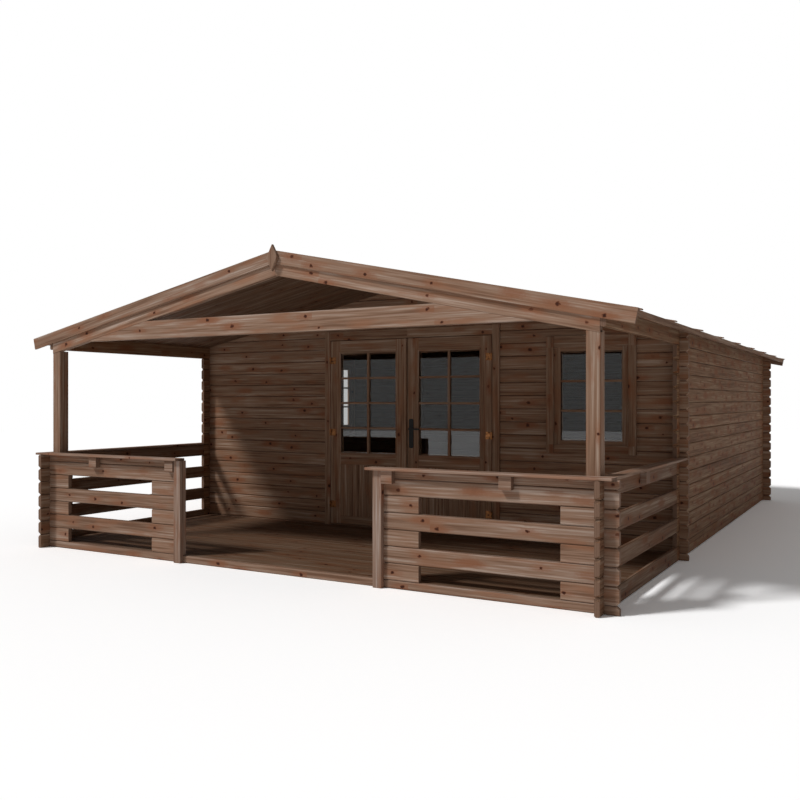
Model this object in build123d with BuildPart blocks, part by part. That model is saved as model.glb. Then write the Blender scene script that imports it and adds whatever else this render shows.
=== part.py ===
import math
import os

from build123d import *

# Logs: the height of one log is the module that the whole cabin is laid out on
log_height = 115.0
half_log = log_height / 2
log_thickness = 34.0
log_bevel = 8.0            # bevel along every long edge, so two logs meet in a V groove
log_end = 91.0             # how far the logs run on past a crossed corner
front_wall_log_end = 70.0  # the same for the front wall's logs
end_bevel = 20.0           # bevel over and under every free end of a log
notch_play = 0.25          # play on each side of the notches in a crossed corner

# Plan, measured over the outer faces of the logs
half_width = 2487.0
veranda_depth = 2047.0
cabin_depth = 4922.0
rear_overhang = 425.0
whole_depth = log_end + veranda_depth + cabin_depth + rear_overhang
y_front = log_end - whole_depth / 2    # outer face of the veranda's front balustrade
y_wall = y_front + veranda_depth       # outer face of the front wall
y_rear = y_wall + cabin_depth          # outer face of the rear wall
y_roof_rear = y_rear + rear_overhang   # outer face of the rear barge boards
x_inner = half_width - log_thickness   # inner face of the side walls and side rails
x_log_end = half_width + log_end
x_front_wall_end = half_width + front_wall_log_end

# Heights
wall_rows = 16
wall_top = wall_rows * log_height
eave_log_foot = wall_top - log_height
rail_rows = 7
rail_top = rail_rows * log_height
gable_base = 16.5 * log_height         # joint over the door frame, where the front gable starts
floor_top = 55.0
floor_boards = 22.0
bearer_width = 60.0

# Roof
slope = 0.21
ridge = wall_top + slope * half_width  # underside of the roof boards at the ridge
roof_boards = 18.4                     # upright thickness of the roof boards
eave_x = 2660.0                        # where the roof boards end
eave_board = 18.0
eave_board_drop = 27.0
lath_thickness = 9.2
lath_width = 45.0
lath_count = 9
lath_x = 2700.0
barge_thickness = 18.0
barge_rise = 29.0                      # barge board above the roof's underside
barge_drop = 70.0                      # barge board below the roof's underside
barge_x = 2688.0
y_barge = y_front + 12.0               # front face of the front barge boards
y_roof_front = y_barge + barge_thickness
y_roof_end = y_roof_rear - barge_thickness
finial_half_width = 40.0
finial_top = 2433.0
finial_waist = 2335.0
finial_foot = 2232.0
finial_thickness = 26.0
ridge_beam_half = 30.0
ridge_beam_depth = 115.0

# Front truss and posts
rafter_depth = 157.0
rafter_thickness = 50.0
tie_foot = 1781.0
tie_top = 1927.0
post_size = 90.0
post_bevel = 16.0

# Balustrade
cap_thickness = 18.0
cap_front = 70.0                       # cap in front of the balustrade, flush behind
cap_outer = half_width + 66.0
right_cap_start = 840.0
left_cap_start = 903.0
slot_inner = 1225.0
slot_outer = 2214.0
end_post_inner = 885.0
end_post_outer = 955.0
end_post_front = 35.0
end_post_back = 32.0
stub_length = 245.0                    # blocks between the side rails at the front corner
bracket_width = 87.0
bracket_depth = 46.0
bracket_height = 89.0
front_brackets_x = (1000.0, 1865.0)
side_bracket_y = y_front + 870.0

# Doorway: two glazed leaves hung on the outer face
opening_half = 905.0                   # where the front wall's logs stop
frame_inner = 868.0
frame_head = 1868.0
casing_outer = 935.0
casing_top = 1955.0
casing_thickness = 18.0
sill_top = 66.0
stop_inner = 850.0
stop_setback = 46.0                    # face of the door stop behind the face of the casing
leaf_hinge_edge = 862.0
leaf_meeting_edge = 4.0
leaf_bottom = 72.0
leaf_top = 1862.0
leaf_thickness = 40.0
leaf_glass_inner = 124.0
leaf_glass_outer = 745.0
leaf_glass_bottom = 770.0
leaf_glass_top = 1737.0
leaf_panel_bottom = 150.0
leaf_panel_top = 655.0
leaf_panel_recess = 10.0
cover_strip_width = 45.0
cover_strip_thickness = 10.0
glass_thickness = 4.0
glass_rebate = 10.0
glass_setback = 18.0                   # glass behind the outer face of its leaf or sash
y_leaf = y_wall - casing_thickness     # outer face of both leaves and of the casing

# Hinges and lever
round_sides = 12                       # small round metal is drawn with this many sides
hinge_x = 865.0
hinge_standoff = 9.0                   # pin axis in front of the leaves' outer face
hinge_heights = (260.0, 966.0, 1670.0)
hinge_length = 66.0
hinge_knuckle_radius = 7.0
hinge_pin_radius = 4.0
hinge_bore_radius = 4.05
hinge_play = 0.5
hinge_leaf_flap = 60.0                 # flap on the face of the leaf, from the pin axis
hinge_jamb_flap = 30.0                 # flap on the jamb, from the outer face inwards
hinge_flap_thickness = 2.0
hinge_flap_gap = 7.6                   # a flap beside the other half's knuckle starts this far from the axis
lever_x = 45.0
lever_z = 1012.0
plate_width = 46.0
plate_bottom = 833.0
plate_top = 1107.0
plate_thickness = 4.0
spindle_radius = 5.0
spindle_bore_radius = 5.05
lever_neck_radius = 9.0
lever_neck = 42.0
lever_length = 105.0
lever_tip = 6.0                        # half the height of the grip at its tip
lever_grip = 12.0                      # thickness of the grip
plate_corner = 10.0

# Windows
window_x = 1760.0
side_window_y = y_front + 4540.0
window_z = 1318.0
window_glass_width = 530.0
window_glass_height = 758.0
sash_side = 57.0
sash_rail = 36.0
window_lining = 22.0
window_casing = 64.0
window_casing_bottom = 828.0
window_casing_top = 1830.0
window_side_casing = 24.0
window_head_casing = 14.0
sash_setback = 4.0
sash_depth = 30.0
clear_width = window_glass_width + 2 * sash_side
clear_height = window_glass_height + 2 * sash_rail

os.makedirs("parts", exist_ok=True)


def roof_under(x):
    """Height of the roof boards' underside at a distance from the middle."""
    return ridge - slope * abs(x)


def hand_over(piece, name):
    """Label a finished piece and write it as its own file."""
    piece.part.label = name
    export_step(piece.part, f"parts/{name}.step")


def log_section(plane, bottom, top, joints):
    """Upright section through a stack of logs, with a V groove at every joint."""
    inner = log_thickness - log_bevel
    outline = [(log_bevel, bottom), (0, bottom + log_bevel)]
    for z in joints:
        outline += [(0, z - log_bevel), (log_bevel, z), (0, z + log_bevel)]
    outline += [(0, top - log_bevel), (log_bevel, top)]
    outline += [(inner, top), (log_thickness, top - log_bevel)]
    for z in reversed(joints):
        outline += [(log_thickness, z + log_bevel), (inner, z), (log_thickness, z - log_bevel)]
    outline += [(log_thickness, bottom + log_bevel), (inner, bottom)]
    with BuildSketch(plane) as section:
        with BuildLine():
            Polyline(*outline, close=True)
        make_face()
    return section.sketch


def joints_between(first, last, bottom, top):
    """Heights of the joints in a stack, from its first and last row numbers."""
    rows = [first + i for i in range(int(last - first) + 1)]
    return [row * log_height for row in rows if bottom < row * log_height < top]


# The space over the roof's underside, which trims walls, posts and beams to the slope
with BuildPart() as above_roof:
    with BuildSketch(Plane.XZ.offset(-whole_depth)):
        with BuildLine():
            Polyline(
                (-2 * half_width, roof_under(2 * half_width)),
                (0, ridge),
                (2 * half_width, roof_under(2 * half_width)),
                (2 * half_width, 2 * ridge),
                (-2 * half_width, 2 * ridge),
                close=True,
            )
        make_face()
    extrude(amount=2 * whole_depth)


def end_notches(plane, places):
    """Blocks that bevel the logs' ends, one on edge at each joint between two ends."""
    with BuildPart() as notches:
        with BuildSketch(plane):
            with Locations(*places):
                Rectangle(math.sqrt(2) * end_bevel, math.sqrt(2) * end_bevel, rotation=45)
        extrude(amount=2 * log_thickness, both=True)
    return notches


def cross_logs(y, x_low, x_high, bottom, top):
    """Logs laid across the cabin, half a log out of step with the side walls they cross."""
    plane = Plane(origin=(x_low, y, 0), x_dir=(0, 1, 0), z_dir=(1, 0, 0))
    joints = joints_between(0.5, 20.5, bottom, top - log_bevel * 2)
    with BuildPart() as logs:
        extrude(log_section(plane, bottom, top, joints), amount=x_high - x_low)
        notches = [
            (side * (half_width - log_thickness / 2), y + log_thickness / 2, (row + 0.5) * log_height)
            for side in (-1, 1)
            for row in range(wall_rows)
            if x_low < side * half_width < x_high and bottom < (row + 0.75) * log_height
            and (row + 0.25) * log_height < top
        ]
        if notches:
            with Locations(*notches):
                Box(
                    log_thickness + 2 * notch_play,
                    2 * log_thickness,
                    half_log + 2 * notch_play,
                    mode=Mode.SUBTRACT,
                )
        end_joints = [(row + 0.5) * log_height for row in range(wall_rows)]
        free_ends = [
            (x, z) for x in (x_low, x_high) if abs(x) > half_width for z in end_joints if bottom <= z <= top
        ]
        if free_ends:
            end_plane = Plane(origin=(0, y, 0), x_dir=(1, 0, 0), z_dir=(0, -1, 0))
            add(end_notches(end_plane, free_ends).part, mode=Mode.SUBTRACT)
        add(above_roof.part, mode=Mode.SUBTRACT)
    return logs


def side_logs(side, y_low, y_high, top, crossings, free_ends):
    """Logs laid along one side, notched over each wall that crosses them.

    Each free end is given as its place and the heights of its first and last bevelled joints.
    """
    x_low = x_inner if side > 0 else -half_width
    plane = Plane(origin=(x_low, y_high, 0), x_dir=(1, 0, 0), z_dir=(0, -1, 0))
    joints = joints_between(1, wall_rows - 1, 0, top - log_bevel * 2)
    with BuildPart() as logs:
        extrude(log_section(plane, 0, top, joints), amount=y_high - y_low)
        notches = [
            (x_low + log_thickness / 2, y + log_thickness / 2, row * log_height)
            for y in crossings
            for row in range(int(top / log_height) + 1)
        ]
        with Locations(*notches):
            Box(
                2 * log_thickness,
                log_thickness + 2 * notch_play,
                half_log + 2 * notch_play,
                mode=Mode.SUBTRACT,
            )
        end_plane = Plane(origin=(x_low, 0, 0), x_dir=(0, 1, 0), z_dir=(1, 0, 0))
        end_places = [(y, z) for y, first, last in free_ends for z in joints if first <= z <= last]
        add(end_notches(end_plane, end_places).part, mode=Mode.SUBTRACT)
        add(above_roof.part, mode=Mode.SUBTRACT)
    return logs


# Sill logs: half logs that start the veranda's front and the front wall
with BuildPart() as front_sill_log:
    add(cross_logs(y_front, -x_log_end, x_log_end, 0, half_log).part)
hand_over(front_sill_log, "front_sill_log")

with BuildPart() as front_wall_sill:
    add(cross_logs(y_wall, -x_front_wall_end, x_front_wall_end, 0, half_log).part)
hand_over(front_wall_sill, "front_wall_sill")

# Front balustrade: whole logs with short blocks between them at both ends
for side, name in ((-1, "left"), (1, "right")):
    ends = sorted((side * end_post_outer, side * x_log_end))
    with BuildPart() as front_balustrade:
        add(cross_logs(y_front, ends[0], ends[1], half_log, rail_top).part)
        slot_centre = side * (slot_inner + slot_outer) / 2
        with Locations(*[(slot_centre, y_front, row * log_height) for row in (1, 3, 5)]):
            Box(slot_outer - slot_inner, 4 * log_thickness, log_height, mode=Mode.SUBTRACT)
    hand_over(front_balustrade, f"{name}_front_balustrade")

# End posts beside the entrance, cut over the sill log that runs through between them
with BuildPart() as balustrade_end_posts:
    with BuildSketch(Plane.XY):
        with Locations(((end_post_inner + end_post_outer) / 2, y_front + (end_post_back - end_post_front) / 2)):
            Rectangle(end_post_outer - end_post_inner, end_post_front + end_post_back)
    extrude(amount=rail_top)
    with Locations(((end_post_inner + end_post_outer) / 2, y_front + log_thickness / 2, half_log / 2)):
        Box(
            2 * end_post_outer,
            log_thickness + 2 * notch_play,
            half_log + 2 * notch_play,
            mode=Mode.SUBTRACT,
        )
    mirror(about=Plane.YZ)
hand_over(balustrade_end_posts, "balustrade_end_posts")

# Side rails of the veranda, butted against the ends of the side walls' logs
y_wall_ends = y_wall - log_end
for side, name in ((-1, "left"), (1, "right")):
    with BuildPart() as side_rails:
        rail_end = y_front - log_end
        rail_free_ends = [(rail_end, log_height, rail_top)]
        add(side_logs(side, rail_end, y_wall_ends, rail_top, [y_front], rail_free_ends).part)
        gap_start = y_front + stub_length
        gap_places = [
            (side * half_width, (gap_start + y_wall_ends) / 2, (row + 0.5) * log_height) for row in (1, 3, 5)
        ]
        with Locations(*gap_places):
            Box(4 * log_thickness, y_wall_ends - gap_start, log_height, mode=Mode.SUBTRACT)
    hand_over(side_rails, f"{name}_side_rails")

# Caps: flat boards along the top of the balustrade
with BuildPart() as front_caps:
    with BuildSketch(Plane.XY.offset(rail_top)):
        for start, end in ((right_cap_start, cap_outer), (-left_cap_start, -cap_outer)):
            with Locations(((start + end) / 2, y_front + (log_thickness - cap_front) / 2)):
                Rectangle(abs(end - start), log_thickness + cap_front)
    extrude(amount=cap_thickness)
hand_over(front_caps, "front_caps")

with BuildPart() as side_caps:
    with BuildSketch(Plane.XY.offset(rail_top)):
        with Locations(((x_inner + cap_outer) / 2, (y_front + log_thickness + y_wall) / 2)):
            Rectangle(cap_outer - x_inner, veranda_depth - log_thickness)
        with Locations((x_inner, y_wall)):
            Rectangle(
                2 * (log_thickness + notch_play),
                2 * (log_end + notch_play),
                mode=Mode.SUBTRACT,
            )
    extrude(amount=cap_thickness)
    mirror(about=Plane.YZ)
hand_over(side_caps, "side_caps")

# Blocks under the caps' overhang, fixed to the faces of the top logs
with BuildPart() as cap_brackets:
    bracket_z = rail_top - bracket_height / 2
    with Locations(*[(x, y_front - bracket_depth / 2, bracket_z) for x in front_brackets_x]):
        Box(bracket_width, bracket_depth, bracket_height)
    with Locations((half_width + bracket_depth / 2, side_bracket_y, bracket_z)):
        Box(bracket_depth, bracket_width, bracket_height)
    mirror(about=Plane.YZ)
hand_over(cap_brackets, "cap_brackets")


def truss_outline(points, y, thickness):
    """Flat board of the front truss, drawn from the front and given its thickness backwards."""
    with BuildPart() as board:
        with BuildSketch(Plane(origin=(0, y + thickness, 0), x_dir=(1, 0, 0), z_dir=(0, -1, 0))):
            with BuildLine():
                Polyline(*points, close=True)
            make_face()
        extrude(amount=thickness)
    return board


# Posts in the corners of the balustrade, cut to the slope of the rafters that they carry
with BuildPart() as veranda_posts:
    with BuildSketch(Plane.XY.offset(floor_top)) as post_outline:
        with Locations((x_inner - post_size / 2, y_front + log_thickness + post_size / 2)):
            Rectangle(post_size, post_size)
        chamfer(post_outline.vertices(), length=post_bevel)
    extrude(amount=ridge)
    add(Pos(0, 0, -rafter_depth) * above_roof.part, mode=Mode.SUBTRACT)
    mirror(about=Plane.YZ)
hand_over(veranda_posts, "veranda_posts")

# Rafters of the front truss, meeting at the ridge
for side, name in ((-1, "left"), (1, "right")):
    rafter_outline = [
        (0, ridge),
        (side * x_inner, roof_under(x_inner)),
        (side * x_inner, roof_under(x_inner) - rafter_depth),
        (0, ridge - rafter_depth),
    ]
    with BuildPart() as rafter:
        add(truss_outline(rafter_outline, y_roof_front, rafter_thickness).part)
    hand_over(rafter, f"{name}_rafter")

# Tie beam between the rafters, its ends cut to their slope
tie_foot_x = (ridge - rafter_depth - tie_foot) / slope
tie_top_x = (ridge - rafter_depth - tie_top) / slope
tie_outline = [(-tie_foot_x, tie_foot), (tie_foot_x, tie_foot), (tie_top_x, tie_top), (-tie_top_x, tie_top)]
with BuildPart() as tie_beam:
    add(truss_outline(tie_outline, y_roof_front, rafter_thickness).part)
hand_over(tie_beam, "tie_beam")

# Eave logs: the side walls' top row, run on over the veranda to the barge boards
with BuildPart() as eave_logs:
    plane = Plane(origin=(x_inner, y_wall_ends, 0), x_dir=(1, 0, 0), z_dir=(0, -1, 0))
    extrude(log_section(plane, eave_log_foot, wall_top + log_height, []), amount=y_wall_ends - y_roof_front)
    add(above_roof.part, mode=Mode.SUBTRACT)
    mirror(about=Plane.YZ)
hand_over(eave_logs, "eave_logs")


def window_opening(plane):
    """Block that cuts a window's opening through the logs of its wall."""
    with BuildPart() as opening:
        with BuildSketch(plane.offset(2 * log_thickness)):
            Rectangle(clear_width + 2 * window_lining, clear_height + 2 * window_lining)
        extrude(amount=-4 * log_thickness)
    return opening


front_window_plane = Plane(origin=(window_x, y_wall, window_z), x_dir=(1, 0, 0), z_dir=(0, -1, 0))
side_window_plane = Plane(origin=(-half_width, side_window_y, window_z), x_dir=(0, -1, 0), z_dir=(-1, 0, 0))

# Side walls, crossed by the front and rear walls
crossed_walls = [y_wall, y_rear - log_thickness]
side_wall_top = wall_top + log_height / 2
wall_free_ends = [
    (y_wall_ends, rail_top + log_height, eave_log_foot - log_height),
    (y_rear + log_end, log_height, wall_top),
]
with BuildPart() as left_wall:
    add(side_logs(-1, y_wall_ends, y_rear + log_end, side_wall_top, crossed_walls, wall_free_ends).part)
    add(window_opening(side_window_plane).part, mode=Mode.SUBTRACT)
hand_over(left_wall, "left_wall")

with BuildPart() as right_wall:
    add(side_logs(1, y_wall_ends, y_rear + log_end, side_wall_top, crossed_walls, wall_free_ends).part)
hand_over(right_wall, "right_wall")

# Seat of the ridge beam in both gables
with BuildPart() as ridge_seat:
    with Locations((0, (y_wall + y_rear) / 2, ridge)):
        Box(2 * ridge_beam_half, y_rear - y_wall, 2 * ridge_beam_depth)

# Rear wall with its gable, and the front wall in pieces beside and over the doorway
with BuildPart() as rear_wall:
    add(cross_logs(y_rear - log_thickness, -x_log_end, x_log_end, 0, ridge).part)
    add(ridge_seat.part, mode=Mode.SUBTRACT)
hand_over(rear_wall, "rear_wall")

with BuildPart() as front_wall_left:
    add(cross_logs(y_wall, -x_front_wall_end, -opening_half, half_log, gable_base).part)
hand_over(front_wall_left, "front_wall_left")

with BuildPart() as front_wall_right:
    add(cross_logs(y_wall, opening_half, x_front_wall_end, half_log, gable_base).part)
    add(window_opening(front_window_plane).part, mode=Mode.SUBTRACT)
hand_over(front_wall_right, "front_wall_right")

with BuildPart() as front_gable:
    add(cross_logs(y_wall, -half_width, half_width, gable_base, ridge).part)
    add(ridge_seat.part, mode=Mode.SUBTRACT)
hand_over(front_gable, "front_gable")

# Ridge beam, let into both gables and planed to the roof's two slopes
with BuildPart() as ridge_beam:
    add(ridge_seat.part)
    add(above_roof.part, mode=Mode.SUBTRACT)
hand_over(ridge_beam, "ridge_beam")

# Roof boards, barge boards and eave boards
for side, name in ((-1, "left"), (1, "right")):
    slab_outline = [
        (0, ridge),
        (side * eave_x, roof_under(eave_x)),
        (side * eave_x, roof_under(eave_x) + roof_boards),
        (0, ridge + roof_boards),
    ]
    with BuildPart() as roof_slab:
        add(truss_outline(slab_outline, y_roof_front, y_roof_end - y_roof_front).part)
    hand_over(roof_slab, f"{name}_roof_boards")

    barge_foot_x = barge_x - slope * (barge_rise + barge_drop)
    barge_outline = [
        (0, ridge + barge_rise),
        (side * barge_x, roof_under(barge_x) + barge_rise),
        (side * barge_foot_x, roof_under(barge_foot_x) - barge_drop),
        (0, ridge - barge_drop),
    ]
    for end, y in (("front", y_barge), ("rear", y_roof_end)):
        with BuildPart() as barge_board:
            add(truss_outline(barge_outline, y, barge_thickness).part)
        hand_over(barge_board, f"{end}_{name}_barge_board")

eave_outline = [
    (eave_x, roof_under(eave_x) - eave_board_drop),
    (eave_x + eave_board, roof_under(eave_x) - eave_board_drop),
    (eave_x + eave_board, roof_under(eave_x + eave_board) + roof_boards),
    (eave_x, roof_under(eave_x) + roof_boards),
]
with BuildPart() as eave_boards:
    add(truss_outline(eave_outline, y_roof_front, y_roof_end - y_roof_front).part)
    mirror(about=Plane.YZ)
hand_over(eave_boards, "eave_boards")

# Roof laths, from the ridge down past the eave boards
lath_start = 1.0
lath_outline = [
    (lath_start, roof_under(lath_start) + roof_boards),
    (lath_x, roof_under(lath_x) + roof_boards),
    (lath_x, roof_under(lath_x) + roof_boards + lath_thickness),
    (lath_start, roof_under(lath_start) + roof_boards + lath_thickness),
]
lath_spacing = (y_roof_end - y_roof_front - lath_width) / (lath_count - 1)
with BuildPart() as roof_laths:
    for i in range(lath_count):
        add(truss_outline(lath_outline, y_roof_front + i * lath_spacing, lath_width).part)
    mirror(about=Plane.YZ)
hand_over(roof_laths, "roof_laths")

# Finial, a kite-shaped board over the joint of the front barge boards
finial_outline = [
    (0, finial_top),
    (finial_half_width, finial_waist),
    (0, finial_foot),
    (-finial_half_width, finial_waist),
]
with BuildPart() as gable_finial:
    add(truss_outline(finial_outline, y_barge - finial_thickness, finial_thickness).part)
    chamfer(gable_finial.faces().sort_by(Axis.Y)[0].edges(), length=log_bevel / 2)
hand_over(gable_finial, "gable_finial")

# Floors on bearers that lie on the ground
for name, y_low, y_high in (
    ("veranda_floor", y_front + log_thickness, y_wall),
    ("cabin_floor", y_wall + log_thickness, y_rear - log_thickness),
):
    with BuildPart() as floor:
        with BuildSketch(Plane.XY.offset(floor_top - floor_boards)):
            with Locations((0, (y_low + y_high) / 2)):
                Rectangle(2 * x_inner, y_high - y_low)
        extrude(amount=floor_boards)
    hand_over(floor, name)

bearer_xs = [-2200.0, -1100.0, 0.0, 1100.0, 2200.0]
with BuildPart() as floor_bearers:
    with BuildSketch(Plane.XY):
        for y_low, y_high in (
            (y_front + log_thickness, y_wall),
            (y_wall + log_thickness, y_rear - log_thickness),
        ):
            with Locations(*[(x, (y_low + y_high) / 2) for x in bearer_xs]):
                Rectangle(bearer_width, y_high - y_low)
    extrude(amount=floor_top - floor_boards)
hand_over(floor_bearers, "floor_bearers")


def portal(plane, half_out, low_out, high_out, half_in, low_in, high_in):
    """Outline of a frame seen from the front: one rectangle cut out of another."""
    with BuildSketch(plane) as outline:
        with Locations((0, (low_out + high_out) / 2)):
            Rectangle(2 * half_out, high_out - low_out)
        with Locations((0, (low_in + high_in) / 2)):
            Rectangle(2 * half_in, high_in - low_in, mode=Mode.SUBTRACT)
    return outline.sketch


# Door frame: jambs, head and threshold, cased on both faces, with a stop behind the leaves
door_plane = Plane(origin=(0, y_wall, 0), x_dir=(1, 0, 0), z_dir=(0, -1, 0))
door_face = door_plane.offset(casing_thickness)
frame_depth = log_thickness + 2 * casing_thickness
with BuildPart() as door_frame:
    extrude(
        portal(door_face, opening_half, half_log, gable_base, frame_inner, sill_top, frame_head),
        amount=-frame_depth,
    )
    for face, direction in ((door_plane, 1), (door_plane.offset(-log_thickness), -1)):
        extrude(
            portal(face, casing_outer, floor_top, casing_top, frame_inner, floor_top, frame_head),
            amount=direction * casing_thickness,
        )
    extrude(
        portal(door_face.offset(-stop_setback), frame_inner, sill_top, frame_head,
               stop_inner, sill_top, frame_head - (frame_inner - stop_inner)),
        amount=stop_setback - frame_depth,
    )
hand_over(door_frame, "door_frame")


def glazed_leaf(side):
    """One leaf: stiles and rails round a glazed upper part and a recessed lower panel."""
    def across(inner, outer):
        return side * (inner + outer) / 2

    face = Plane(origin=(0, y_leaf, 0), x_dir=(1, 0, 0), z_dir=(0, -1, 0))
    glass_place = (
        across(leaf_glass_inner, leaf_glass_outer),
        (leaf_glass_bottom + leaf_glass_top) / 2,
    )
    glass_width = leaf_glass_outer - leaf_glass_inner
    glass_height = leaf_glass_top - leaf_glass_bottom
    with BuildPart() as leaf:
        with BuildSketch(face):
            with Locations((across(leaf_meeting_edge, leaf_hinge_edge), (leaf_bottom + leaf_top) / 2)):
                Rectangle(leaf_hinge_edge - leaf_meeting_edge, leaf_top - leaf_bottom)
            with Locations(glass_place):
                Rectangle(glass_width, glass_height, mode=Mode.SUBTRACT)
        extrude(amount=-leaf_thickness)
        # Rebate for the glass, open to the inside
        with BuildSketch(face.offset(-leaf_thickness)):
            with Locations(glass_place):
                Rectangle(glass_width + 2 * glass_rebate, glass_height + 2 * glass_rebate)
        extrude(amount=leaf_thickness - glass_setback, mode=Mode.SUBTRACT)
        # Lower panel, set back on both faces
        panel_place = (
            across(leaf_glass_inner, leaf_glass_outer),
            (leaf_panel_bottom + leaf_panel_top) / 2,
        )
        for plane, direction in ((face, -1), (face.offset(-leaf_thickness), 1)):
            with BuildSketch(plane):
                with Locations(panel_place):
                    Rectangle(glass_width, leaf_panel_top - leaf_panel_bottom)
            extrude(amount=direction * leaf_panel_recess, mode=Mode.SUBTRACT)
    return leaf


def leaf_pane(side):
    """Glass of one leaf, resting in its rebate."""
    plane = Plane(origin=(0, y_leaf + glass_setback, 0), x_dir=(1, 0, 0), z_dir=(0, -1, 0))
    place = (side * (leaf_glass_inner + leaf_glass_outer) / 2, (leaf_glass_bottom + leaf_glass_top) / 2)
    with BuildPart() as pane:
        with BuildSketch(plane):
            with Locations(place):
                Rectangle(
                    leaf_glass_outer - leaf_glass_inner + 2 * glass_rebate,
                    leaf_glass_top - leaf_glass_bottom + 2 * glass_rebate,
                )
        extrude(amount=-glass_thickness)
    return pane


def jamb_hinges(side):
    """Lower halves of one leaf's lift-off hinges: knuckle, standing pin, and flap on the jamb."""
    axis_y = y_leaf - hinge_standoff
    knuckle = (hinge_length - hinge_play) / 2
    flap_x = side * (frame_inner - hinge_flap_thickness / 2)
    with BuildPart() as halves:
        for z in hinge_heights:
            low = z - hinge_length / 2
            for radius, height in (
                (hinge_knuckle_radius, knuckle),
                (hinge_pin_radius, hinge_length - hinge_flap_thickness),
            ):
                with BuildSketch(Plane.XY.offset(low)):
                    with Locations((side * hinge_x, axis_y)):
                        RegularPolygon(radius, round_sides)
                extrude(amount=height)
            for start, bottom, top in (
                (axis_y, low, low + knuckle),
                (axis_y + hinge_flap_gap + hinge_flap_thickness, low, low + hinge_length),
            ):
                end = y_leaf + hinge_jamb_flap
                with Locations((flap_x, (start + end) / 2, (bottom + top) / 2)):
                    Box(hinge_flap_thickness, end - start, top - bottom)
    return halves


def leaf_hinges(side):
    """Upper halves of one leaf's lift-off hinges: bored knuckle, and flap on the leaf's face."""
    axis_y = y_leaf - hinge_standoff
    knuckle = (hinge_length - hinge_play) / 2
    with BuildPart() as halves:
        for z in hinge_heights:
            high = z + hinge_length / 2
            with BuildSketch(Plane(origin=(0, y_leaf, 0), x_dir=(1, 0, 0), z_dir=(0, -1, 0))):
                with Locations((side * (hinge_x - (hinge_leaf_flap + hinge_flap_gap) / 2), z)):
                    Rectangle(hinge_leaf_flap - hinge_flap_gap, hinge_length)
            extrude(amount=hinge_flap_thickness)
            # Web that carries the knuckle on the flap
            web_x = side * (hinge_x - hinge_flap_gap / 2 - hinge_flap_thickness)
            with Locations((web_x, (axis_y + y_leaf) / 2, high - knuckle / 2)):
                Box(hinge_flap_gap, hinge_standoff, knuckle)
            with BuildSketch(Plane.XY.offset(high)):
                with Locations((side * hinge_x, axis_y)):
                    RegularPolygon(hinge_knuckle_radius, round_sides)
            extrude(amount=-knuckle)
            with BuildSketch(Plane.XY.offset(high)):
                with Locations((side * hinge_x, axis_y)):
                    RegularPolygon(hinge_bore_radius, round_sides, major_radius=False)
            extrude(amount=-knuckle, mode=Mode.SUBTRACT)
    return halves


with BuildPart() as frame_hinges:
    for side in (-1, 1):
        add(jamb_hinges(side).part)
hand_over(frame_hinges, "frame_hinges")

# Left leaf, with the cover strip along its meeting stile
with BuildPart() as left_door_leaf:
    add(glazed_leaf(-1).part)
    with BuildSketch(Plane(origin=(0, y_leaf, 0), x_dir=(1, 0, 0), z_dir=(0, -1, 0))):
        with Locations((-leaf_meeting_edge - cover_strip_width / 2, (leaf_bottom + leaf_top) / 2)):
            Rectangle(cover_strip_width, leaf_top - leaf_bottom)
    extrude(amount=cover_strip_thickness)
hand_over(left_door_leaf, "left_door_leaf")

# Right leaf, bored for the lever's spindle
with BuildPart() as right_door_leaf:
    add(glazed_leaf(1).part)
    with BuildSketch(Plane(origin=(0, y_leaf, 0), x_dir=(1, 0, 0), z_dir=(0, -1, 0))):
        with Locations((lever_x, lever_z)):
            RegularPolygon(spindle_bore_radius, round_sides, major_radius=False)
    extrude(amount=-leaf_thickness, mode=Mode.SUBTRACT)
hand_over(right_door_leaf, "right_door_leaf")

for side, name in ((-1, "left"), (1, "right")):
    with BuildPart() as door_glass:
        add(leaf_pane(side).part)
    hand_over(door_glass, f"{name}_door_glass")

    with BuildPart() as door_hinges:
        add(leaf_hinges(side).part)
    hand_over(door_hinges, f"{name}_door_hinges")

# Lock plates on both faces of the right leaf, and the lever through them
outside = Plane(origin=(0, y_leaf, 0), x_dir=(1, 0, 0), z_dir=(0, -1, 0))
inside = Plane(origin=(0, y_leaf + leaf_thickness, 0), x_dir=(-1, 0, 0), z_dir=(0, 1, 0))
with BuildPart() as door_lock_plates:
    for face, across in ((outside, lever_x), (inside, -lever_x)):
        with BuildSketch(face) as plate_outline:
            with Locations((across, (plate_bottom + plate_top) / 2)):
                Rectangle(plate_width, plate_top - plate_bottom)
            chamfer(plate_outline.vertices(), length=plate_corner)
            with Locations((across, lever_z)):
                RegularPolygon(spindle_bore_radius, round_sides, major_radius=False, mode=Mode.SUBTRACT)
        extrude(amount=plate_thickness)
hand_over(door_lock_plates, "door_lock_plates")

with BuildPart() as door_lever:
    with BuildSketch(outside.offset(plate_thickness + lever_neck)):
        with Locations((lever_x, lever_z)):
            RegularPolygon(spindle_radius, round_sides)
    extrude(amount=-(leaf_thickness + 2 * (plate_thickness + lever_neck)))
    for face, across, towards in ((outside, lever_x, 1), (inside, -lever_x, -1)):
        with BuildSketch(face.offset(plate_thickness + hinge_play)):
            with Locations((across, lever_z)):
                RegularPolygon(lever_neck_radius, round_sides)
        extrude(amount=lever_neck - hinge_play)
        # Grip that tapers from the neck to a pointed tip
        with BuildSketch(face.offset(plate_thickness + lever_neck - lever_grip)):
            with BuildLine(Location((across, lever_z))):
                Polyline(
                    (0, lever_neck_radius),
                    (towards * lever_length, lever_tip),
                    (towards * (lever_length + lever_tip), 0),
                    (towards * lever_length, -lever_tip),
                    (0, -lever_neck_radius),
                    close=True,
                )
            make_face()
        extrude(amount=lever_grip)
hand_over(door_lever, "door_lever")


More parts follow.
